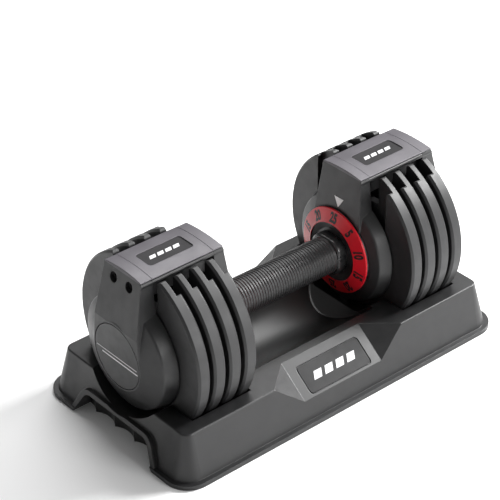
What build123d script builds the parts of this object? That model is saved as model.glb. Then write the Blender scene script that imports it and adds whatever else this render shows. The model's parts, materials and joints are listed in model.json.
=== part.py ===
# Adjustable dumbbell resting in its tray. Millimetres, +Z up. X runs along the dumbbell, and the
# badge side of the tray faces -Y. The origin is the centre of the tray's underside.
# Turning the grip turns the whole selector: both dials and the eight selector discs. The rim of a
# disc passes under the tab of its plate, so the plate is carried, or leaves it in the tray.
# The right head (+X) is drawn, and the left head is its mirror image.

import os
from math import radians, tan

from build123d import *

os.makedirs("parts", exist_ok=True)

# --- Driving dimensions ---
axis_height = 81.3  # axis of the grip above the floor

plate_radius = 79.0
plate_rise = 5.0  # the centre of a plate's rim lies this far above the axis
plate_thickness = 12.0
plate_pitch = 16.1
plate_count = 4  # plates in each head
plate_chamfer = 1.8
first_plate = 87.4  # inner face of the innermost plate
web_thickness = 5.6  # inner layer of a plate, which surrounds the selector disc
disc_opening = 43.0  # half width of the opening in the inner layer
hub_opening = 16.0  # half width of the slot for the selector's hubs
bridge_opening = 28.5  # half width of the slot for the bridge, and its foot above the axis
bridge_slot_foot = 50.0
tongue_rounding = 3.0
step_rounding = 2.0
tab_half_width = 8.5

rim_radius = 41.0  # selector disc
rim_inner_radius = 36.0
hub_radius = 14.0
step_angle = 36.0  # turn between two dial settings

bar_radius = 6.0  # tie bar
running_gap = 0.05
sleeve_bore = 8.0
hex_apothem = 10.5  # hexagonal sleeve that turns the discs
grip_length = 114.0
grip_radius = 16.9
grip_core_radius = 14.0
rib_pitch = 2.8

dial_radius = 40.45
dial_inner_radius = 27.84
dial_front = 64.9  # inner edge of the dial face
dial_rise = 3.7  # depth of its cone
dial_thickness = 1.6

cheek_front = 71.9  # inner cheek, around the dial
cheek_back = 86.2
outer_cheek_back = 148.7
outer_cheek_front = 170.0
inner_lean = 0.115  # how far a cheek's face leans, per millimetre of height
outer_lean = 0.21
boss_radius = 54.5  # of a cheek, at its back
boss_rounding = 2.5
cap_radius = 29.3

cover_edge = 78.4  # height of the cover's long edges above the axis
cover_crown = 80.3
cover_half_width = 23.6
bead_radius = 2.2  # bead along the heads' sides, and the groove between it and the cover
bead_height = 74.8
bead_reach = 24.4
groove_depth = 0.9
bridge_pad = cover_edge - 0.8  # underside of the cover
bolt_y = 10.06  # long bolts through each head
bolt_z = 69.2

tray_half_length = 181.1
tray_half_width = 97.2
tray_corner = 22.6
tray_height = 45.0
lip_height = 4.2
lip_width = 3.7
wall_draft = 14.0
wall = 3.0
floor_thickness = 2.0
plate_pocket_radius = 80.5
boss_pocket_radius = 58.0
saddle_radius = 55.3
trough_radius = 61.3

shaft_axis = Axis((0, 0, axis_height), (1, 0, 0))
along = Plane(origin=(0, 0, axis_height), x_dir=(1, 0, 0), z_dir=(0, -1, 0))


def across(x):
    """Plane square to the shaft at x: its local axes are Y and Z, measured from the shaft."""
    return Plane(origin=(x, 0, axis_height), x_dir=(0, 1, 0), z_dir=(1, 0, 0))


def plate_face(number):
    """Inner face of a plate, where number 0 is the innermost."""
    return first_plate + plate_pitch * number


def turn(*points, mode=Mode.ADD):
    """Turned shape about the shaft, from a closed outline of (x, radius) points."""
    with BuildSketch(along) as outline:
        with BuildLine():
            Polyline(*points, close=True)
        make_face()
    revolve(outline.sketch, axis=shaft_axis, mode=mode)


def drum(x_from, x_to, radius, mode=Mode.ADD, rise=0.0):
    """Cylinder about the shaft, or about a line above it."""
    with BuildSketch(across(x_from)) as outline:
        with Locations((0, rise)):
            Circle(radius)
    extrude(outline.sketch, amount=x_to - x_from, mode=mode)


def hexagon(x_from, x_to, mode=Mode.ADD):
    """Hexagonal bar about the shaft."""
    with BuildSketch(across(x_from)) as outline:
        RegularPolygon(hex_apothem, 6, major_radius=False)
    extrude(outline.sketch, amount=x_to - x_from, mode=mode)


def block(x_from, x_to, y_from, y_to, z_from, z_to, mode=Mode.ADD):
    """Box between two corners, with heights measured from the shaft."""
    with Locations((x_from, y_from, axis_height + z_from)):
        Box(x_to - x_from, y_to - y_from, z_to - z_from, align=(Align.MIN,) * 3, mode=mode)


def save(piece, name):
    piece.part.label = name
    export_step(piece.part, "parts/" + name + ".step")


def save_pair(piece, name):
    """Write a piece of the right head, and its mirror image in the left head."""
    save(piece, name + "_right")
    with BuildPart() as other:
        mirror(piece.part, about=Plane.YZ)
    save(other, name + "_left")


# --- Tray ---
slope = tan(radians(wall_draft))
last_face = plate_face(plate_count - 1) + plate_thickness
pocket_from = first_plate - 0.9
pocket_to = last_face + 0.9
divider_top = 69.5  # slanted end of the hand trough: its top, its foot and its height
divider_foot = 54.0
divider_height = 30.0
trough_rounding = 3.0

badge_top = (-57.9, tray_height)
badge_foot = (-88.4, 21.8)
badge_half_length = 43.9
notch_half_length = 72.8  # where the facets beside the badge reach the top of the wall
badge_run = badge_top[0] - badge_foot[0]
badge_fall = badge_top[1] - badge_foot[1]
badge_plane = Plane(
    origin=(0, badge_top[0], badge_top[1]), x_dir=(1, 0, 0), z_dir=(0, -badge_fall, badge_run)
)

finger_pitch = 26.5
finger_depth = 162.5  # deepest point of a finger scallop
finger_radius = 21.8
finger_height = 23.0
arch_foot = 54.0  # half width of a finger opening at the floor, and at its top
arch_top = 41.0
arch_fillet = 10.0
rib_thickness = 2.4  # ribs that keep the plates apart in their pocket
rib_height = 18.0
rib_half_length = 50.0
post_x = 81.8  # posts that hold the lock sliders up
post_low = 22.0
post_top = 30.0
tray_badge_length = 68.0
tray_badge_width = 25.5
badge_from_top = 22.0  # centre of the badge, down the leaning face
badge_depth = 0.8
badge_groove = 1.4  # how much longer and wider the recess is than the badge


def facet(side):
    """Plane of the facet beside the badge: 1 is the right one, -1 the left one."""
    corner = Vector(side * badge_half_length, badge_top[0], tray_height)
    rim_y = -tray_half_width + lip_width + tray_height * slope
    rim = Vector(side * notch_half_length, rim_y, tray_height)
    foot = Vector(side * badge_half_length, badge_foot[0], badge_foot[1])
    return Plane(origin=corner, x_dir=rim - corner, z_dir=(rim - corner).cross(foot - corner) * -side)


def badge_notch(inset):
    """What is cut off the front wall to leave the leaning badge face and its two facets. The rear
    wall has the same shape, without a badge."""
    with BuildPart() as notch:
        with Locations((0, -90, 40)):
            Box(200, 90, 70)
        split(bisect_by=badge_plane.offset(-inset), keep=Keep.TOP)
        split(bisect_by=facet(1).offset(-inset), keep=Keep.TOP)
        split(bisect_by=facet(-1).offset(-inset), keep=Keep.TOP)
    return notch.part


def arch(x, growth):
    """Outline of the finger opening in an end wall, grown by the wall or the lip round it."""
    with BuildSketch(Plane.YZ.offset(x)) as outline:
        with BuildLine():
            top = (arch_top + growth, finger_height + growth)
            foot = (arch_foot + growth, 0)
            Polyline((-foot[0], 0), (-top[0], top[1]), top, foot, close=True)
        make_face()
        fillet(outline.vertices().group_by(Axis.Y)[-1], arch_fillet + growth)
    return outline.sketch


def finger_recess(growth):
    """Recess behind a finger opening, with a scalloped back."""
    with BuildPart() as recess:
        extrude(arch(finger_depth - growth - 1, growth), amount=30)
        with BuildSketch() as scallops:
            with Locations((finger_depth + finger_radius, 0)):
                with GridLocations(1, finger_pitch, 1, 5):
                    Circle(finger_radius + growth)
        extrude(scallops.sketch, amount=40, mode=Mode.INTERSECT)
    return recess.part


def head_room(growth):
    """Room in the tray for the right head, grown by the wall where the shell is hollowed round it."""
    with BuildPart() as room:
        drum(pocket_from - growth, pocket_to + growth, plate_pocket_radius + growth, rise=plate_rise)
        drum(divider_top - growth, pocket_to, boss_pocket_radius + growth)
        drum(pocket_from, tray_half_length + 5, saddle_radius + growth)
        split(bisect_by=Plane.XY.offset(floor_thickness - 2 * growth), keep=Keep.TOP)
        add(finger_recess(growth))
    return room.part


def hand_trough(growth):
    """Trough under the grip, whose ends slant up to the dividers."""
    with BuildPart() as trough:
        drum(-divider_top, divider_top, trough_radius + growth)
        lean = Vector(divider_top - divider_foot, 0, divider_height - axis_height + trough_radius)
        for side in (1, -1):
            foot = Vector(side * divider_foot, 0, axis_height - trough_radius)
            end = Plane(origin=foot, x_dir=(0, 1, 0), z_dir=(-lean.Z * side, 0, lean.X))
            split(bisect_by=end.offset(-growth), keep=Keep.TOP)
        fillet(edges().filter_by(GeomType.ELLIPSE), trough_rounding + growth)
    return trough.part


def badge_sketch(margin):
    """Badge outline on the leaning face, grown by the gap of the recess that it sits in."""
    with BuildSketch(badge_plane) as outline:
        with Locations((0, -badge_from_top)):
            RectangleRounded(tray_badge_length + margin, tray_badge_width + margin, 3.5)
    return outline.sketch


def both_sides(shape):
    return [shape, shape.mirror(Plane.YZ)]


def front_and_rear(shape):
    return [shape, shape.mirror(Plane.XZ)]


with BuildPart() as tray_hollow:
    with BuildSketch():
        RectangleRounded(
            2 * (tray_half_length - lip_width - wall), 2 * (tray_half_width - lip_width - wall), 15
        )
    extrude(amount=tray_height - wall, taper=wall_draft)
    add(hand_trough(wall), mode=Mode.SUBTRACT)
    add(front_and_rear(badge_notch(wall)), mode=Mode.SUBTRACT)
    add(both_sides(head_room(wall)), mode=Mode.SUBTRACT)

with BuildPart() as arch_lips:
    with BuildSketch():
        RectangleRounded(2 * tray_half_length, 2 * tray_half_width, tray_corner)
    extrude(amount=finger_height + 2 * lip_height, taper=wall_draft)
    extrude(arch(0, lip_height), amount=tray_half_length, both=True, mode=Mode.INTERSECT)
    with Locations((0, 0, 20)):
        Box(2 * finger_depth + 4, 200, 60, mode=Mode.SUBTRACT)

with BuildPart() as plate_ribs:
    for number in range(1, plate_count):
        gap_middle = plate_face(number) - (plate_pitch - plate_thickness) / 2
        with Locations((gap_middle, 0, floor_thickness)):
            Box(rib_thickness, 2 * rib_half_length, rib_height, align=(Align.CENTER, Align.CENTER, Align.MIN))
    drum(pocket_from, pocket_to, plate_pocket_radius + 1, Mode.INTERSECT, plate_rise)

with BuildPart() as tray_shell:
    with BuildSketch():
        RectangleRounded(
            2 * (tray_half_length - lip_width), 2 * (tray_half_width - lip_width), tray_corner - lip_width
        )
    extrude(amount=tray_height, taper=wall_draft)
    fillet(edges().group_by(Axis.Z)[-1], 1.6)
    with BuildSketch():
        RectangleRounded(2 * tray_half_length, 2 * tray_half_width, tray_corner)
    extrude(amount=lip_height)
    add(arch_lips.part)
    add(front_and_rear(badge_notch(0)), mode=Mode.SUBTRACT)
    add(hand_trough(0), mode=Mode.SUBTRACT)
    add(both_sides(head_room(0)), mode=Mode.SUBTRACT)
    add(tray_hollow.part, mode=Mode.SUBTRACT)
    add(both_sides(plate_ribs.part))
    for side in (-1, 1):
        with Locations((side * post_x, 0, post_low)):
            Box(3, 10, post_top - post_low, align=(Align.CENTER, Align.CENTER, Align.MIN))
    extrude(badge_sketch(badge_groove), amount=-badge_depth, mode=Mode.SUBTRACT)
save(tray_shell, "tray_shell")

with BuildPart() as tray_badge:
    extrude(badge_sketch(0).moved(Location(badge_plane.z_dir * -badge_depth)), amount=badge_depth - 0.1)
save(tray_badge, "tray_badge")

# --- Plates ---
tab_front = 2.4  # the tab reaches this near to the plate's inner face
tab_low = 34.5
tab_high = 24.0


def slotted(x, half_width, foot, rounding):
    """Outline of a plate's layer, open at the top over a slot whose upper corners are rounded."""
    with BuildSketch(across(x)) as outline:
        with Locations((0, plate_rise)):
            Circle(plate_radius)
        with Locations((0, foot + plate_radius)):
            Rectangle(2 * half_width, 2 * plate_radius, mode=Mode.SUBTRACT)
        fillet(outline.vertices().group_by(Axis.Y)[-1], rounding)
    return outline.sketch


def weight_plate(number):
    """Weight plate, open at the top: a tab at the bottom hangs inside the rim of its selector disc."""
    face = plate_face(number)
    middle = face + web_thickness
    back = face + plate_thickness
    with BuildPart() as plate:
        extrude(slotted(middle, bridge_opening, bridge_slot_foot, tongue_rounding), amount=back - middle)
        extrude(slotted(face, disc_opening, 0, step_rounding), amount=web_thickness)
        with BuildPart(mode=Mode.INTERSECT):
            drum(face, back, plate_radius, rise=plate_rise)
            chamfer(edges().filter_by(GeomType.CIRCLE), plate_chamfer)
        drum(face - 1, middle, disc_opening, Mode.SUBTRACT)
        drum(middle, back + 1, hub_opening, Mode.SUBTRACT)
        block(middle, back + 1, -hub_opening, hub_opening, 0, plate_radius, Mode.SUBTRACT)
        block(face + tab_front, middle, -tab_half_width, tab_half_width, -tab_low, -tab_high)
    return plate


# --- Selector: everything that turns with the grip ---
disc_clearance = 0.3
disc_web = 1.6
disc_depth = 5.0
sleeve_from = 36.0
sleeve_to = 147.2
collar_from = grip_length / 2
collar_to = 66.8
collar_half_width = 17.5


def selector_disc(number):
    """Cup whose rim is open over the dial settings that leave this plate in the tray."""
    front = plate_face(number) + disc_clearance
    hub_end = min(front + plate_pitch, sleeve_to)
    with BuildPart() as disc:
        drum(front, front + disc_web, rim_radius)
        drum(front, front + disc_depth, rim_radius)
        drum(front + disc_web, front + disc_depth, rim_inner_radius, Mode.SUBTRACT)
        drum(front, hub_end, hub_radius)
        with BuildSketch(across(front + disc_web)) as gaps:
            for half_turn in (0, 180):
                start = 90 + step_angle / 2 + half_turn
                size = step_angle * (number + 1)
                with BuildLine():
                    arc = CenterArc((0, 0), rim_radius + 2, start, size)
                    Line((0, 0), arc @ 0)
                    Line((0, 0), arc @ 1)
                make_face()
            Circle(hub_radius + 2, mode=Mode.SUBTRACT)
        extrude(gaps.sketch, amount=disc_depth, mode=Mode.SUBTRACT)
        hexagon(front - 1, hub_end + 1, Mode.SUBTRACT)
    return disc


for number in range(plate_count):
    save_pair(weight_plate(number), f"weight_plate_{number + 1}")
    save_pair(selector_disc(number), f"selector_disc_{number + 1}")

with BuildPart() as selector_sleeve:
    hexagon(sleeve_from, sleeve_to)
    drum(sleeve_from, sleeve_to, sleeve_bore, Mode.SUBTRACT)
save_pair(selector_sleeve, "selector_sleeve")

bush_length = 12.0
with BuildPart() as sleeve_bushes:
    for start in (sleeve_from + 2, sleeve_to - bush_length):
        for x in (start, -start - bush_length):
            drum(x, x + bush_length, sleeve_bore)
    drum(-sleeve_to - 1, sleeve_to + 1, bar_radius + running_gap, Mode.SUBTRACT)
save(sleeve_bushes, "sleeve_bushes")

with BuildPart() as grip_core:
    drum(-grip_length / 2, grip_length / 2, grip_core_radius)
    hexagon(-grip_length / 2, grip_length / 2, Mode.SUBTRACT)
save(grip_core, "grip_core")

rib_count = int((grip_length - 4) / rib_pitch)
with BuildPart() as grip_sleeve:
    with BuildSketch(along) as grip_outline:
        with Locations((0, (grip_core_radius + grip_radius) / 2)):
            Rectangle(grip_length, grip_radius - grip_core_radius)
        with Locations((0, grip_radius + 0.35)):
            with GridLocations(rib_pitch, 1, rib_count, 1):
                Circle(1.05, mode=Mode.SUBTRACT)
    revolve(grip_outline.sketch, axis=shaft_axis)
save(grip_sleeve, "grip_sleeve")

with BuildPart() as collar:
    with BuildSketch(across(collar_from)):
        RectangleRounded(2 * collar_half_width, 2 * collar_half_width, 12)
    extrude(amount=collar_to - collar_from)
    fillet(edges().group_by(Axis.X)[0], 2.5)
    hexagon(collar_from, collar_to, Mode.SUBTRACT)
save_pair(collar, "grip_collar")

hub_back = cheek_front - 0.3
with BuildPart() as dial_hub:
    turn(
        (hub_back, 0),
        (collar_to, 0),
        (collar_to, 22),
        (dial_front + 1, dial_inner_radius),
        (dial_front + dial_thickness, dial_inner_radius),
        (dial_front + dial_thickness + dial_rise, dial_radius),
        (hub_back, dial_radius),
    )
    hexagon(collar_to - 5, hub_back + 1, Mode.SUBTRACT)
save_pair(dial_hub, "dial_hub")

with BuildPart() as dial_ring:
    turn(
        (dial_front, dial_inner_radius),
        (dial_front + dial_rise, dial_radius),
        (dial_front + dial_rise + dial_thickness, dial_radius),
        (dial_front + dial_thickness, dial_inner_radius),
    )
save_pair(dial_ring, "dial_ring")

star_from = 76.3
star_to = 83.4
star_radius = 24.0
with BuildPart() as detent_star:
    with BuildSketch(across(star_from)):
        Circle(star_radius)
        with PolarLocations(star_radius + 0.8, 10, start_angle=90):
            Circle(3.5, mode=Mode.SUBTRACT)
    extrude(amount=star_to - star_from)
    hexagon(star_from - 1, star_to + 1, Mode.SUBTRACT)
save_pair(detent_star, "detent_star")

# --- Frame: cheeks, bridges and the tie bar, which don't turn ---
neck_foot_half_width = 31.0  # neck of a cheek, at the height of the axis
neck_half_width = 23.4  # at its top
back_growth = 2.2  # how much wider its foot is at the back
bolt_radius = 3.0
bolt_head_radius = 4.6
bolt_head_face = 161.5
plate_recess = 2.0  # inner cheek's back plate
back_plate_radius = 50.0
bore_gap = 0.3
slider_half_width = 28.0
slider_from = 80.3
slider_to = 83.3
stem_half_width = 6.0
cavity_radius = 46.0
plunger_x = 78.0  # spring plunger over the detent star, in a guide inside the inner cheek
plunger_radius = 1.6
plunger_from = 24.6
plunger_to = 36.0
guide_half_width = 4.0
guide_low = 27.0
screw_circle = 48.0  # screws that hold the back plate
screw_radius = 1.3
screw_length = 6.0


def neck_outline(x, growth):
    """Neck of a cheek, with a crowned top that continues the cover."""
    with BuildSketch(across(x)) as outline:
        with BuildLine():
            low = neck_foot_half_width + growth
            high = neck_half_width
            crown = ThreePointArc((-high, cover_edge), (0, cover_crown), (high, cover_edge))
            Polyline(crown @ 0, (-low, 0), (low, 0), crown @ 1)
        make_face()
    return outline.sketch


def bead_outline(x):
    """Section of the bead along both sides of a head."""
    with BuildSketch(across(x)) as outline:
        with Locations((0, bead_height)):
            SlotOverall(2 * bead_reach, 2 * bead_radius)
    return outline.sketch


def neck_trim(x_from, x_to):
    """Bead along the sides of a neck, with the groove above it."""
    extrude(bead_outline(x_from), amount=x_to - x_from)
    floor_y = neck_half_width - groove_depth
    for y_from, y_to in ((-bead_reach - 1, -floor_y), (floor_y, bead_reach + 1)):
        block(x_from, x_to, y_from, y_to, bead_height + bead_radius, bridge_pad, Mode.SUBTRACT)


def boss(front, front_radius, edge, edge_radius, back):
    """Boss of a cheek about the shaft: a flat, a cone, a rounded edge and a steep flank."""
    with BuildSketch(along) as outline:
        with BuildLine():
            top = Polyline((front, 0), (front, front_radius), (edge, edge_radius), (back, boss_radius))
            Polyline(top @ 1, (back, 0), top @ 0)
        make_face()
        fillet(outline.vertices().sort_by_distance((edge, edge_radius, 0))[0], boss_rounding)
    revolve(outline.sketch, axis=shaft_axis)


inner_lean_start = cheek_front - inner_lean * (dial_radius + 1)
inner_face = Plane(origin=(inner_lean_start, 0, axis_height), x_dir=(0, -1, 0), z_dir=(-1, 0, inner_lean))
outer_face = Plane(
    origin=(outer_cheek_front, 0, axis_height + cap_radius), x_dir=(0, 1, 0), z_dir=(1, 0, outer_lean)
)
with BuildPart() as inner_cheek:
    loft([neck_outline(inner_lean_start - 2, 0), neck_outline(cheek_back, back_growth)])
    neck_trim(inner_lean_start - 2, cheek_back)
    split(bisect_by=inner_face, keep=Keep.BOTTOM)
    drum(inner_lean_start - 5, cheek_front, dial_radius + 1, Mode.SUBTRACT)
    boss(cheek_front, dial_radius + 1, cheek_front + 3.6, 50.5, cheek_back)
    drum(cheek_back - plate_recess, cheek_back + 1, back_plate_radius, Mode.SUBTRACT)
    drum(star_from - 1, cheek_back, cavity_radius, Mode.SUBTRACT)
    guide_to = slider_from - bore_gap
    block(star_from - 1, guide_to, -guide_half_width, guide_half_width, guide_low, cavity_radius)
    with BuildSketch(Plane.XY.offset(axis_height + guide_low)) as plunger_bore:
        with Locations((plunger_x, 0)):
            Circle(plunger_radius)
    extrude(plunger_bore.sketch, amount=cavity_radius - guide_low, mode=Mode.SUBTRACT)
    with BuildSketch(across(cheek_back - plate_recess - screw_length)) as screw_holes:
        with PolarLocations(screw_circle, 4, start_angle=45):
            Circle(screw_radius)
    extrude(screw_holes.sketch, amount=screw_length, mode=Mode.SUBTRACT)
    drum(cheek_front - 1, cheek_back, hub_radius + bore_gap, Mode.SUBTRACT)
    block(
        slider_from - bore_gap,
        slider_to + bore_gap,
        -stem_half_width - bore_gap,
        stem_half_width + bore_gap,
        -boss_radius - 5,
        -40,
        Mode.SUBTRACT,
    )
    for y in (-bolt_y, bolt_y):
        with BuildSketch(across(cheek_back - 9)) as bolt_hole:
            with Locations((y, bolt_z)):
                Circle(bolt_radius)
        extrude(bolt_hole.sketch, amount=12, mode=Mode.SUBTRACT)
save_pair(inner_cheek, "inner_cheek")

cap_gap = 0.5
cap_depth = 3.6
nut_radius = 11.0
nut_height = 7.0
nut_seat = 158.0
cap_seat = outer_cheek_front - cap_depth
with BuildPart() as outer_cheek:
    loft([neck_outline(outer_cheek_front, 0), neck_outline(outer_cheek_back, back_growth)])
    neck_trim(outer_cheek_back, outer_cheek_front)
    split(bisect_by=outer_face, keep=Keep.BOTTOM)
    boss(outer_cheek_front, 31, outer_cheek_front - 8.5, 51.5, outer_cheek_back)
    drum(cap_seat, outer_cheek_front + 1, cap_radius + cap_gap, Mode.SUBTRACT)
    drum(nut_seat, outer_cheek_front, nut_radius + 3, Mode.SUBTRACT)
    drum(outer_cheek_back - 1, nut_seat, bar_radius, Mode.SUBTRACT)
    for y in (-bolt_y, bolt_y):
        with BuildSketch(across(outer_cheek_back - 1)) as bolt_hole:
            with Locations((y, bolt_z)):
                Circle(bolt_radius)
        extrude(bolt_hole.sketch, amount=20, mode=Mode.SUBTRACT)
        with BuildSketch(across(bolt_head_face - 7)) as counterbore:
            with Locations((y, bolt_z)):
                Circle(bolt_head_radius)
        extrude(counterbore.sketch, amount=20, mode=Mode.SUBTRACT)
save_pair(outer_cheek, "outer_cheek")

with BuildPart() as end_cap:
    drum(cap_seat, outer_cheek_front, cap_radius)
    fillet(edges().group_by(Axis.X)[-1], 0.6)
save_pair(end_cap, "end_cap")

with BuildPart() as tie_bar:
    drum(-nut_seat - nut_height - 1, nut_seat + nut_height + 1, bar_radius)
    chamfer(edges().filter_by(GeomType.CIRCLE), 1)
save(tie_bar, "tie_bar")

with BuildPart() as tie_bar_nuts:
    for x in (-nut_seat - nut_height, nut_seat):
        with BuildSketch(across(x)) as nut:
            RegularPolygon(nut_radius, 6)
            Circle(bar_radius, mode=Mode.SUBTRACT)
        extrude(nut.sketch, amount=nut_height)
save(tie_bar_nuts, "tie_bar_nuts")

with BuildPart() as thrust_washers:
    washer_from = sleeve_to + bore_gap
    for x in (washer_from, -outer_cheek_back):
        drum(x, x + outer_cheek_back - washer_from, hub_radius)
    drum(-outer_cheek_back, outer_cheek_back, bar_radius, Mode.SUBTRACT)
save(thrust_washers, "thrust_washers")

bridge_half_width = 17.0
bridge_low = 56.0
with BuildPart() as bridge:
    with BuildSketch(across(cheek_back)) as bridge_outline:
        with Locations((0, bead_height)):
            SlotOverall(2 * bead_reach, 2 * bead_radius)
        with Locations((0, (bridge_low + bridge_pad) / 2)):
            RectangleRounded(2 * bridge_half_width, bridge_pad - bridge_low, 2)
        with Locations((-bolt_y, bolt_z), (bolt_y, bolt_z)):
            Circle(bolt_radius, mode=Mode.SUBTRACT)
    extrude(bridge_outline.sketch, amount=outer_cheek_back - cheek_back)
save_pair(bridge, "bridge")

badge_length = 45.0
badge_width = 20.0
cover_mid = (cheek_back + outer_cheek_back) / 2
with BuildPart() as top_cover:
    with BuildSketch(across(cheek_back)) as cover_outline:
        with BuildLine():
            crown = ThreePointArc(
                (-cover_half_width, cover_edge), (0, cover_crown), (cover_half_width, cover_edge)
            )
            Polyline(crown @ 0, (-cover_half_width, bridge_pad), (cover_half_width, bridge_pad), crown @ 1)
        make_face()
    extrude(cover_outline.sketch, amount=outer_cheek_back - cheek_back)
    chamfer(edges().filter_by(GeomType.CIRCLE), 0.35)
    with BuildSketch(Plane.XY.offset(axis_height + cover_crown)) as recess:
        with Locations((cover_mid, 0)):
            RectangleRounded(badge_length + 0.4, badge_width + 0.4, 3.2)
    extrude(recess.sketch, amount=-2 * badge_depth, mode=Mode.SUBTRACT)
save_pair(top_cover, "top_cover")

with BuildPart() as cover_badge:
    with BuildSketch(Plane.XY.offset(axis_height + cover_crown - 2 * badge_depth)):
        with Locations((cover_mid, 0)):
            RectangleRounded(badge_length, badge_width, 3)
    extrude(amount=badge_depth)
save_pair(cover_badge, "cover_badge")

bolt_to = cheek_back - 8
with BuildPart() as head_bolts:
    for y in (-bolt_y, bolt_y):
        with BuildSketch(across(bolt_to)) as shank:
            with Locations((y, bolt_z)):
                Circle(bolt_radius)
        extrude(shank.sketch, amount=bolt_head_face - 7 - bolt_to)
        with BuildSketch(across(bolt_head_face - 7)) as head:
            with Locations((y, bolt_z)):
                Circle(bolt_head_radius - 0.2)
        extrude(head.sketch, amount=4)
        with BuildSketch(across(bolt_head_face - 5)) as socket:
            with Locations((y, bolt_z)):
                RegularPolygon(2.5, 6)
        extrude(socket.sketch, amount=3, mode=Mode.SUBTRACT)
save_pair(head_bolts, "head_bolts")

# Arrow over the dial, on the leaning front of the inner cheek.
arrow_top = 52.3
arrow_tip = 43.2
arrow_half_width = 5.7
pointer_thickness = 0.15
with BuildPart() as pointer:
    with BuildSketch(inner_face) as arrow:
        Polygon(
            (-arrow_half_width, arrow_top), (arrow_half_width, arrow_top), (0, arrow_tip), align=None
        )
    extrude(arrow.sketch, amount=pointer_thickness)
save_pair(pointer, "dial_pointer")

with BuildPart() as back_plate:
    drum(cheek_back - plate_recess, cheek_back, back_plate_radius - 0.1)
    drum(cheek_back - plate_recess, cheek_back, hub_radius + bore_gap, Mode.SUBTRACT)
    with BuildSketch(across(cheek_back - plate_recess)) as clearance_holes:
        with PolarLocations(screw_circle, 4, start_angle=45):
            Circle(screw_radius)
    extrude(clearance_holes.sketch, amount=plate_recess, mode=Mode.SUBTRACT)
save_pair(back_plate, "cheek_back_plate")

with BuildPart() as back_plate_screws:
    with BuildSketch(across(cheek_back - plate_recess - screw_length)) as shanks:
        with PolarLocations(screw_circle, 4, start_angle=45):
            Circle(screw_radius)
    extrude(shanks.sketch, amount=screw_length + plate_recess)
    mirror(about=Plane.YZ)
save(back_plate_screws, "back_plate_screws")

with BuildPart() as detent_plungers:
    with BuildSketch(Plane.XY.offset(axis_height + plunger_from)) as plunger:
        with Locations((plunger_x, 0)):
            Circle(plunger_radius)
    extrude(plunger.sketch, amount=plunger_to - plunger_from)
    fillet(edges().group_by(Axis.Z)[0], plunger_radius - 0.2)
    mirror(about=Plane.YZ)
save(detent_plungers, "detent_plungers")

spring_wire = 0.35
with BuildPart() as detent_springs:
    with BuildLine() as coil:
        Helix(
            1.6,
            cavity_radius - plunger_to - 2 * spring_wire,
            plunger_radius - spring_wire - 0.1,
            center=(plunger_x, 0, axis_height + plunger_to + spring_wire),
        )
    with BuildSketch(Plane(origin=coil.line @ 0, z_dir=coil.line % 0)) as wire:
        Circle(spring_wire)
    sweep(wire.sketch, path=coil.line, is_frenet=True)
    mirror(about=Plane.YZ)
save(detent_springs, "detent_springs")

# Lock slider: a window plate round the sleeve. A post in the tray holds it up, and it drops when
# the dumbbell is lifted.
slider_travel = 3.0
slider_top = 34.0
slider_low = -33.0
slider_foot = post_top + bore_gap - axis_height
window_radius = star_radius + 0.6
with BuildPart() as lock_slider:
    with BuildSketch(across(slider_from)) as slider_outline:
        with Locations((0, (slider_top + slider_low) / 2)):
            RectangleRounded(2 * slider_half_width, slider_top - slider_low, 6)
        with Locations((0, (slider_low + slider_foot) / 2)):
            Rectangle(2 * stem_half_width, slider_low - slider_foot)
        with Locations((0, slider_travel / 2)):
            SlotCenterToCenter(slider_travel, 2 * window_radius, rotation=90, mode=Mode.SUBTRACT)
    extrude(slider_outline.sketch, amount=slider_to - slider_from)
save_pair(lock_slider, "lock_slider")
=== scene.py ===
# Looks of the adjustable dumbbell in its tray. Metres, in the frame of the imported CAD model.
# The CAD nodes keep their shapes and get procedural materials. The dials' numerals and the plain
# stripes on the end caps and badges are new pieces that ride on the CAD bodies.

import json
from math import cos, radians, sin

import bmesh
import bpy
from mathutils import Matrix, Vector


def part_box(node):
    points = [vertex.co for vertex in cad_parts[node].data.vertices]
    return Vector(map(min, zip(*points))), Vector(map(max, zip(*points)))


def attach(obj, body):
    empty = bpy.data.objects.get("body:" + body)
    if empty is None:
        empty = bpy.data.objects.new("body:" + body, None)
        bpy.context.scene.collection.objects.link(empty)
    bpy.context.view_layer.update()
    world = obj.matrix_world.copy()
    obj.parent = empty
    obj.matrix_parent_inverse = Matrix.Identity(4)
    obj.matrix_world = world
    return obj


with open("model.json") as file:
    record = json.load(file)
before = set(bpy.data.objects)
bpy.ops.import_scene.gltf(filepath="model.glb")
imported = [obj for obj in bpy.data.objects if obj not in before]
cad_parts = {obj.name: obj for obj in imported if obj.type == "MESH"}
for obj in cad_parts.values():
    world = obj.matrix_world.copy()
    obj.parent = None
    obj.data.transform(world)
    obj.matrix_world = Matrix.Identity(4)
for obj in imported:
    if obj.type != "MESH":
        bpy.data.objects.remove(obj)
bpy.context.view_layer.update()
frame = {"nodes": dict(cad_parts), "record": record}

MM = 0.001
SIDES = {"right": 1, "left": -1}


# --- Materials ---
NOISE_SPREAD = (0.3, 0.7)  # most of a noise texture's values lie between these


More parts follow.
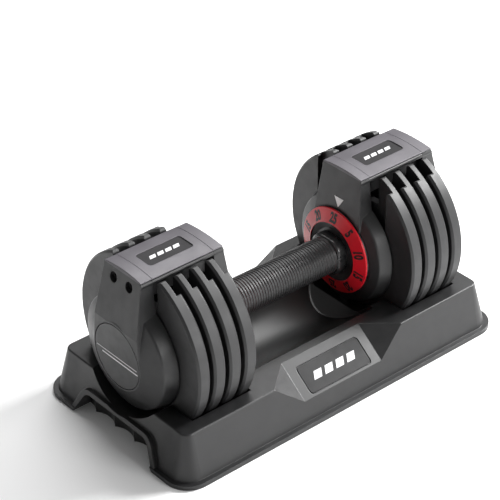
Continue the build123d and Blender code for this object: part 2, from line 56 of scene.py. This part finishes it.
class Nodes:
    """A material's node tree, with short calls for the nodes that the finishes share."""

    def __init__(self, name):
        self.material = bpy.data.materials.new(name)
        self.material.use_nodes = True
        self.tree = self.material.node_tree
        self.shader = self.tree.nodes["Principled BSDF"]
        self.place = self.tree.nodes.new("ShaderNodeTexCoord").outputs["Object"]

    def add(self, kind, **inputs):
        node = self.tree.nodes.new("ShaderNode" + kind)
        for name, value in inputs.items():
            self.put(node.inputs[name.replace("_", " ")], value)
        return node

    def put(self, socket, value):
        if isinstance(value, bpy.types.NodeSocket):
            self.tree.links.new(value, socket)
        else:
            socket.default_value = value

    def set(self, **inputs):
        """Values or links for the shader's own sockets."""
        for name, value in inputs.items():
            self.put(self.shader.inputs[name.replace("_", " ")], value)

    def feeding(self, name):
        """Socket that is linked to the shader's input of that name."""
        return self.shader.inputs[name].links[0].from_socket

    def noise(self, size, detail=3.0, stretch=(1, 1, 1)):
        """Noise whose features are about `size` metres across."""
        scaled = self.add("Mapping", Vector=self.place, Scale=stretch)
        texture = self.add("TexNoise", Vector=scaled.outputs[0], Scale=1 / size, Detail=detail)
        return texture.outputs["Fac"]

    def span(self, value, low, high, source=(0.0, 1.0)):
        """Value mapped from the source range to low..high."""
        node = self.add("MapRange", Value=value)
        for name, number in zip(("From Min", "From Max", "To Min", "To Max"), (*source, low, high)):
            node.inputs[name].default_value = number
        return node.outputs[0]

    def mottle(self, size, low=0.0, high=1.0):
        """Soft patches about `size` metres across, with values from low to high."""
        return self.span(self.noise(size), low, high, NOISE_SPREAD)

    def blend(self, factor, first, second):
        node = self.tree.nodes.new("ShaderNodeMix")
        node.data_type = "RGBA"
        self.put(node.inputs["Factor"], factor)
        self.put(node.inputs["A"], (*first, 1) if isinstance(first, tuple) else first)
        self.put(node.inputs["B"], (*second, 1) if isinstance(second, tuple) else second)
        return node.outputs["Result"]

    def math(self, operation, first, second=0.0):
        node = self.tree.nodes.new("ShaderNodeMath")
        node.operation = operation
        self.put(node.inputs[0], first)
        self.put(node.inputs[1], second)
        return node.outputs[0]

    def rounded(self, radius):
        """Normal with the edges rounded off by a radius in metres."""
        node = self.add("Bevel", Radius=radius)
        node.samples = 6
        return node.outputs[0]

    def edges(self, normal, reach=0.06):
        """1 on the edges that `normal` rounds off, and 0 elsewhere."""
        flat = self.add("NewGeometry").outputs["Normal"]
        dot = self.tree.nodes.new("ShaderNodeVectorMath")
        dot.operation = "DOT_PRODUCT"
        self.put(dot.inputs[0], normal)
        self.put(dot.inputs[1], flat)
        return self.span(dot.outputs["Value"], 1.0, 0.0, (1 - reach, 1.0))

    def bump(self, height, depth, normal):
        """Relief of `depth` metres over the height's range of 0 to 1."""
        node = self.add("Bump", Height=height, Distance=depth, Strength=1.0, Normal=normal)
        return node.outputs[0]


def shade(colour, factor):
    """The colour made darker or lighter by a factor."""
    return tuple(min(1.0, c * factor) for c in colour)


def moulded(name, colour, roughness, grain=0.5 * MM, depth=0.012 * MM, edge=0.8 * MM, edge_wear_and_highlight=1.5):
    """Moulded or coated surface: fine grain, soft mottling, and edges lighter from wear and a painted
    highlight.
    """
    m = Nodes(name)
    normal = m.rounded(edge)
    # Edges are made lighter, partly as wear and partly as a painted highlight where the rounded edges
    # catch the light.
    edge_patches = m.span(m.noise(6 * MM), 0.35, 1.0, (0.35, 0.65))
    wear_and_highlight = m.math("MULTIPLY", m.edges(normal), edge_patches)
    body = m.blend(m.mottle(22 * MM), shade(colour, 0.86), shade(colour, 1.12))
    rough = m.mottle(9 * MM, roughness - 0.05, roughness + 0.06)
    m.set(
        Base_Color=m.blend(wear_and_highlight, body, shade(colour, edge_wear_and_highlight)),
        Roughness=m.math("SUBTRACT", rough, m.math("MULTIPLY", wear_and_highlight, 0.08)),
        Normal=m.bump(m.noise(grain, detail=4), depth, normal),
    )
    return m


def turned(name, colour, roughness):
    """Machined steel with fine rings left by the tool round the X axis."""
    m = Nodes(name)
    normal = m.rounded(0.3 * MM)
    rings = m.noise(0.5 * MM, stretch=(1, 0.02, 0.02))
    m.set(
        Base_Color=m.blend(m.mottle(15 * MM), colour, shade(colour, 0.8)),
        Metallic=1.0,
        Roughness=m.span(rings, roughness - 0.08, roughness + 0.1, NOISE_SPREAD),
        Normal=m.bump(rings, 0.006 * MM, normal),
    )
    return m


TRAY_GREY = (0.0105, 0.0105, 0.011)
# Darker greys for the trough, as painted shade under the dumbbell.
TROUGH_SHADE_GREYS = ((0.007, 0.007, 0.007), (0.01, 0.01, 0.01))
TROUGH_EDGE = (52 * MM, 60 * MM)  # from the middle, where the gloss and the painted shade give way to the matt walls
COVER_GREY = (0.074, 0.069, 0.078)
CHEEK_LIT_TOP = (158.6 * MM, 158.9 * MM)  # height over which a cheek turns into the cover's grey, as painted light on its upward top


def tray_finish():
    """Tray: matt outside walls, and a smoother, glossier trough and deck; the trough's colour is
    darkened as painted shade.
    """
    m = moulded("tray_plastic", TRAY_GREY, 0.42, grain=0.6 * MM, edge_wear_and_highlight=1.3)
    across = m.add("SeparateXYZ", Vector=m.place).outputs["Y"]
    trough_shade_and_gloss = m.span(m.math("ABSOLUTE", across), 1.0, 0.0, TROUGH_EDGE)
    body = m.feeding("Base Color")
    rough = m.feeding("Roughness")
    smoother = m.math("SUBTRACT", m.mottle(60 * MM, 0.29, 0.33), rough)
    m.set(
        # The trough gets the darker greys as painted shade, and the walls keep the tray's grey.
        Base_Color=m.blend(trough_shade_and_gloss, body, m.blend(m.noise(14 * MM), *TROUGH_SHADE_GREYS)),
        Roughness=m.math("ADD", rough, m.math("MULTIPLY", trough_shade_and_gloss, smoother)),
    )
    return m


def cheek_finish():
    """Cheek: dark grey, with its top painted in the cover's lighter grey as painted light where it
    faces up.
    """
    m = moulded("cheek_plastic", (0.012, 0.012, 0.0125), 0.42)
    height = m.add("SeparateXYZ", Vector=m.place).outputs["Z"]
    above = m.span(height, 0.0, 1.0, CHEEK_LIT_TOP)
    # The top is painted in the lighter grey as painted light on the upward face, not as a second
    # colour of plastic.
    top = m.blend(m.mottle(22 * MM), COVER_GREY, shade(COVER_GREY, 1.1))
    m.set(Base_Color=m.blend(above, m.feeding("Base Color"), top))
    return m


def badge_finish(name, colour):
    """Badge insert: smooth, dark and duller than the plastic round it."""
    m = moulded(name, colour, 0.5, depth=0.004 * MM, edge=0.3 * MM)
    m.set(Specular_IOR_Level=0.22)
    return m


MATERIALS = {
    "tray": tray_finish(),
    "tray_badge": badge_finish("tray_badge_plastic", (0.008, 0.008, 0.0085)),
    "plate": moulded("plate_coating", (0.015, 0.015, 0.0156), 0.46, grain=0.9 * MM, depth=0.03 * MM),
    "disc": moulded("disc_nylon", (0.012, 0.012, 0.013), 0.5),
    "steel": turned("turned_steel", (0.5, 0.5, 0.51), 0.32),
    "bush": moulded("acetal", (0.5, 0.48, 0.42), 0.4),
    "grip": moulded("grip_plastic", (0.017, 0.017, 0.0175), 0.42, edge=0.25 * MM),
    "collar": moulded("collar_plastic", (0.014, 0.014, 0.0145), 0.3, depth=0.004 * MM, edge=1.2 * MM),
    "dial_hub": moulded("dial_hub_plastic", (0.013, 0.013, 0.0135), 0.34, depth=0.004 * MM),
    "dial": moulded("dial_red", (0.56, 0.008, 0.018), 0.34, depth=0.003 * MM, edge=0.5 * MM, edge_wear_and_highlight=1.2),
    "cheek": cheek_finish(),
    "cap": moulded("cap_plastic", (0.018, 0.018, 0.0188), 0.4),
    "bridge": moulded("bridge_coating", (0.018, 0.018, 0.0186), 0.4),
    "cover": moulded("cover_plastic", COVER_GREY, 0.42),
    "badge": badge_finish("badge_plastic", (0.016, 0.015, 0.0165)),
    "bolt": moulded("bolt_black_oxide", (0.008, 0.008, 0.008), 0.4, edge=0.3 * MM),
    "pointer": moulded("pointer_white", (0.85, 0.85, 0.84), 0.4, edge=0.05 * MM),
    "back_plate": moulded("back_plate_plastic", (0.02, 0.02, 0.0205), 0.5),
}
numeral_ink = moulded("numeral_ink", (0.006, 0.006, 0.006), 0.5, edge=0.05 * MM)
stripe_paint = moulded("stripe_paint", (0.62, 0.62, 0.63), 0.35, edge=0.05 * MM, edge_wear_and_highlight=1.1)

slot_of = {part["node"]: part["material_slot"] for part in frame["record"]["subparts"]}
for node, thing in frame["nodes"].items():
    thing.data.materials.clear()
    thing.data.materials.append(MATERIALS[slot_of[node]].material)


def piece(name, mesh, finish, body):
    """A new visible piece that rides on a CAD body."""
    thing = bpy.data.objects.new(name, mesh)
    bpy.context.collection.objects.link(thing)
    thing.data.materials.clear()
    thing.data.materials.append(finish.material)
    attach(thing, body)


# --- Dial numerals ---
dial_low, dial_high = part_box("dial_ring_right")
AXIS_HEIGHT = (dial_low.z + dial_high.z) / 2
DIAL_RADIUS = (dial_high.z - dial_low.z) / 2
DIAL_FRONT = dial_low.x
DIAL_WIDTH = 12.61 * MM  # of the red ring, measured along its radius
DIAL_RISE = 3.7 * MM  # how far the ring's rim lies behind its inner edge
NUMERALS = ("25", "5", "10", "15", "20") * 2
NUMERAL_STEP = 360 / len(NUMERALS)
NUMERAL_HEIGHT = 9.6 * MM
NUMERAL_NARROWING = 0.7
STROKE_GAIN = 0.05  # the strokes' outlines move out by this, on a font of size 1
FONT_HALF_DEPTH = 0.5
INK_THICKNESS = 0.12 * MM
INK_SINK = 0.02 * MM  # how far the ink reaches into the dial


def numeral_mesh(text):
    """Number centred on the origin, NUMERAL_HEIGHT tall, with its thickness along Z."""
    curve = bpy.data.curves.new("numeral", "FONT")
    curve.body = text
    curve.align_x = "CENTER"
    curve.align_y = "CENTER"
    curve.size = 1.0
    curve.offset = STROKE_GAIN
    curve.extrude = FONT_HALF_DEPTH
    curve.resolution_u = 6
    carrier = bpy.data.objects.new("numeral", curve)
    bpy.context.collection.objects.link(carrier)
    graph = bpy.context.evaluated_depsgraph_get()
    mesh = bpy.data.meshes.new_from_object(carrier.evaluated_get(graph))
    bpy.data.objects.remove(carrier)
    left, right = min(v.co.x for v in mesh.vertices), max(v.co.x for v in mesh.vertices)
    low, top = min(v.co.y for v in mesh.vertices), max(v.co.y for v in mesh.vertices)
    scale = NUMERAL_HEIGHT / (top - low)
    for v in mesh.vertices:
        v.co = Vector((
            (v.co.x - (left + right) / 2) * scale * NUMERAL_NARROWING,
            (v.co.y - (top + low) / 2) * scale,
            (v.co.z + FONT_HALF_DEPTH) * INK_THICKNESS,
        ))
    return mesh


def dial_point(side, angle, along, out, height):
    """Point `height` above the dial's cone, `along` its rim and `out` from the ring's mid-width."""
    radius = DIAL_RADIUS - DIAL_WIDTH / 2 + out
    turn = angle + side * along / radius
    depth = DIAL_FRONT + DIAL_RISE * (radius - DIAL_RADIUS + DIAL_WIDTH) / DIAL_WIDTH
    return Vector((side * (depth - height), -radius * sin(turn), AXIS_HEIGHT + radius * cos(turn)))


def dial_numerals(side):
    """The numbers of one dial, bent onto its cone."""
    made = bmesh.new()
    for step, text in enumerate(NUMERALS):
        flat = numeral_mesh(text)
        for v in flat.vertices:
            v.co = dial_point(side, radians(NUMERAL_STEP * step), v.co.x, v.co.y, v.co.z - INK_SINK)
        made.from_mesh(flat)
    bmesh.ops.recalc_face_normals(made, faces=made.faces)
    mesh = bpy.data.meshes.new("dial_numerals")
    made.to_mesh(mesh)
    return mesh


for name, side in SIDES.items():
    piece(f"dial_numerals_{name}", dial_numerals(side), numeral_ink, "selector")


# --- Plain stripes ---
STRIPE_THICKNESS = 0.1 * MM
CAP_LINES = (  # each line's start, end, height and width, in millimetres
    (-27, 26, -1, 0.7),
    (-20, 27, -4.5, 1.2),
)
BARS = 4  # on each badge
BAR_SLANT = 0.5  # how far a bar's ends lean, for each unit of its width
TRAY_BADGE_SLOPE = (0, 30.5, 23.2)  # the way up the leaning badge face


def strips(plane, shapes):
    """Thin flat strips on a plane: each shape is a list of its corner points, (across, up)."""
    made = bmesh.new()
    for corners in shapes:
        low = [made.verts.new(plane @ Vector((x, y, 0))) for x, y in corners]
        high = [made.verts.new(plane @ Vector((x, y, STRIPE_THICKNESS))) for x, y in corners]
        made.faces.new(high)
        made.faces.new(low[::-1])
        for i in range(len(corners)):
            j = (i + 1) % len(corners)
            made.faces.new((low[i], low[j], high[j], high[i]))
    bmesh.ops.recalc_face_normals(made, faces=made.faces)
    mesh = bpy.data.meshes.new("strips")
    made.to_mesh(mesh)
    return mesh


def bar(start, end, height, width, slant=0.0):
    """Corners of a straight bar whose ends slant."""
    half = width / 2
    lean = slant * half
    bottom = [(start - lean, height - half), (end - lean, height - half)]
    return bottom + [(end + lean, height + half), (start + lean, height + half)]


def bar_row(first, pitch, length, width):
    """Slanted bars in a row, in millimetres: each starts `pitch` after the one before it."""
    starts = [(first + pitch * i) * MM for i in range(BARS)]
    return [bar(start, start + length * MM, 0, width * MM, BAR_SLANT) for start in starts]


def face_plane(origin, across, up):
    """Matrix of a plane on a surface, with its normal along across x up."""
    across, up = Vector(across).normalized(), Vector(up).normalized()
    turn = Matrix((across, up, across.cross(up))).transposed()
    return Matrix.Translation(origin) @ turn.to_4x4()


def cap_stripes(name, side):
    face = max(abs(corner.x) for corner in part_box(f"end_cap_{name}"))
    plane = face_plane((side * face, 0, AXIS_HEIGHT), (0, side, 0), (0, 0, 1))
    lines = [bar(*(size * MM for size in line)) for line in CAP_LINES]
    piece(f"cap_stripes_{name}", strips(plane, lines), stripe_paint, "frame")


def cover_stripes(name):
    low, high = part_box(f"cover_badge_{name}")
    plane = face_plane(((low.x + high.x) / 2, 0, high.z), (1, 0, 0), (0, 1, 0))
    bars = bar_row(first=-15, pitch=8, length=6, width=4.2)
    piece(f"cover_stripes_{name}", strips(plane, bars), stripe_paint, "frame")


def tray_stripes():
    """Bars on the leaning badge, whose outermost point along its normal gives its surface."""
    low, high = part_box("tray_badge")
    centre = (low + high) / 2
    plane = face_plane(centre, (1, 0, 0), TRAY_BADGE_SLOPE)
    out = plane.to_3x3() @ Vector((0, 0, 1))
    surface = max((v.co - centre).dot(out) for v in frame["nodes"]["tray_badge"].data.vertices)
    bars = bar_row(first=-22.5, pitch=12.5, length=8.5, width=7)
    mesh = strips(Matrix.Translation(out * surface) @ plane, bars)
    piece("tray_stripes", mesh, stripe_paint, "tray")


for name, side in SIDES.items():
    cap_stripes(name, side)
for name in SIDES:
    cover_stripes(name)
tray_stripes()


# --- Floor, light and camera ---
FLOOR_REACH = 6.0
FLOOR_GREYS = ((0.86, 0.86, 0.86), (0.9, 0.9, 0.9))
LIGHT_AIM = (0, 0, 0.08)
LIGHTS = {  # each light's place, its width and height, and its power in watts
    "key_light": ((1.7, -0.45, 1.3), (0.7, 0.7), 104),
    "front_light": ((0.5, -1.9, 0.75), (0.9, 0.6), 27),
    "top_light": ((0.9, 0.8, 2.1), (1.5, 1.5), 46),
    "left_light": ((-1.9, -0.6, 1.1), (0.8, 0.8), 0.8),
}
WORLD_LIGHT = 0.24
CAMERA_PLACE = (-0.91004, -1.05398, 1.02389)
CAMERA_LENS = 141.19  # millimetres
CAMERA_HEADING = -39.93  # degrees about the vertical, from the +Y axis
CAMERA_DOWN = 33.24  # degrees below the horizontal
CAMERA_ROLL = -0.774  # degrees


def floor():
    mesh = bpy.data.meshes.new("floor")
    corners = [(x * FLOOR_REACH, y * FLOOR_REACH, 0) for x, y in ((-1, -1), (1, -1), (1, 1), (-1, 1))]
    mesh.from_pydata(corners, [], [(0, 1, 2, 3)])
    thing = bpy.data.objects.new("floor", mesh)
    bpy.context.collection.objects.link(thing)
    m = Nodes("floor_paint")
    m.set(
        Base_Color=m.blend(m.noise(400 * MM), *FLOOR_GREYS),
        Roughness=0.75,
        Normal=m.bump(m.noise(3 * MM), 0.02 * MM, m.add("NewGeometry").outputs["Normal"]),
    )
    thing.data.materials.append(m.material)


def soft_light(name, place, size, power):
    lamp = bpy.data.lights.new(name, "AREA")
    lamp.shape = "RECTANGLE"
    lamp.size, lamp.size_y = size
    lamp.energy = power
    thing = bpy.data.objects.new(name, lamp)
    bpy.context.collection.objects.link(thing)
    thing.location = place
    thing.rotation_mode = "QUATERNION"
    thing.rotation_quaternion = (Vector(LIGHT_AIM) - Vector(place)).to_track_quat("-Z", "Y")


def camera():
    thing = bpy.data.objects.new("camera", bpy.data.cameras.new("camera"))
    bpy.context.collection.objects.link(thing)
    thing.data.lens = CAMERA_LENS
    thing.data.clip_end = 50
    thing.matrix_world = (
        Matrix.Translation(CAMERA_PLACE)
        @ Matrix.Rotation(radians(CAMERA_HEADING), 4, "Z")
        @ Matrix.Rotation(radians(90 - CAMERA_DOWN), 4, "X")
        @ Matrix.Rotation(radians(CAMERA_ROLL), 4, "Z")
    )
    return thing


floor()
for name, (place, size, power) in LIGHTS.items():
    soft_light(name, place, size, power)

world = bpy.data.worlds.new("studio")
world.use_nodes = True
world.node_tree.nodes["Background"].inputs["Color"].default_value = (1, 1, 1, 1)
world.node_tree.nodes["Background"].inputs["Strength"].default_value = WORLD_LIGHT
bpy.context.scene.world = world
bpy.context.scene.camera = camera()
bpy.context.scene.view_settings.view_transform = "Standard"
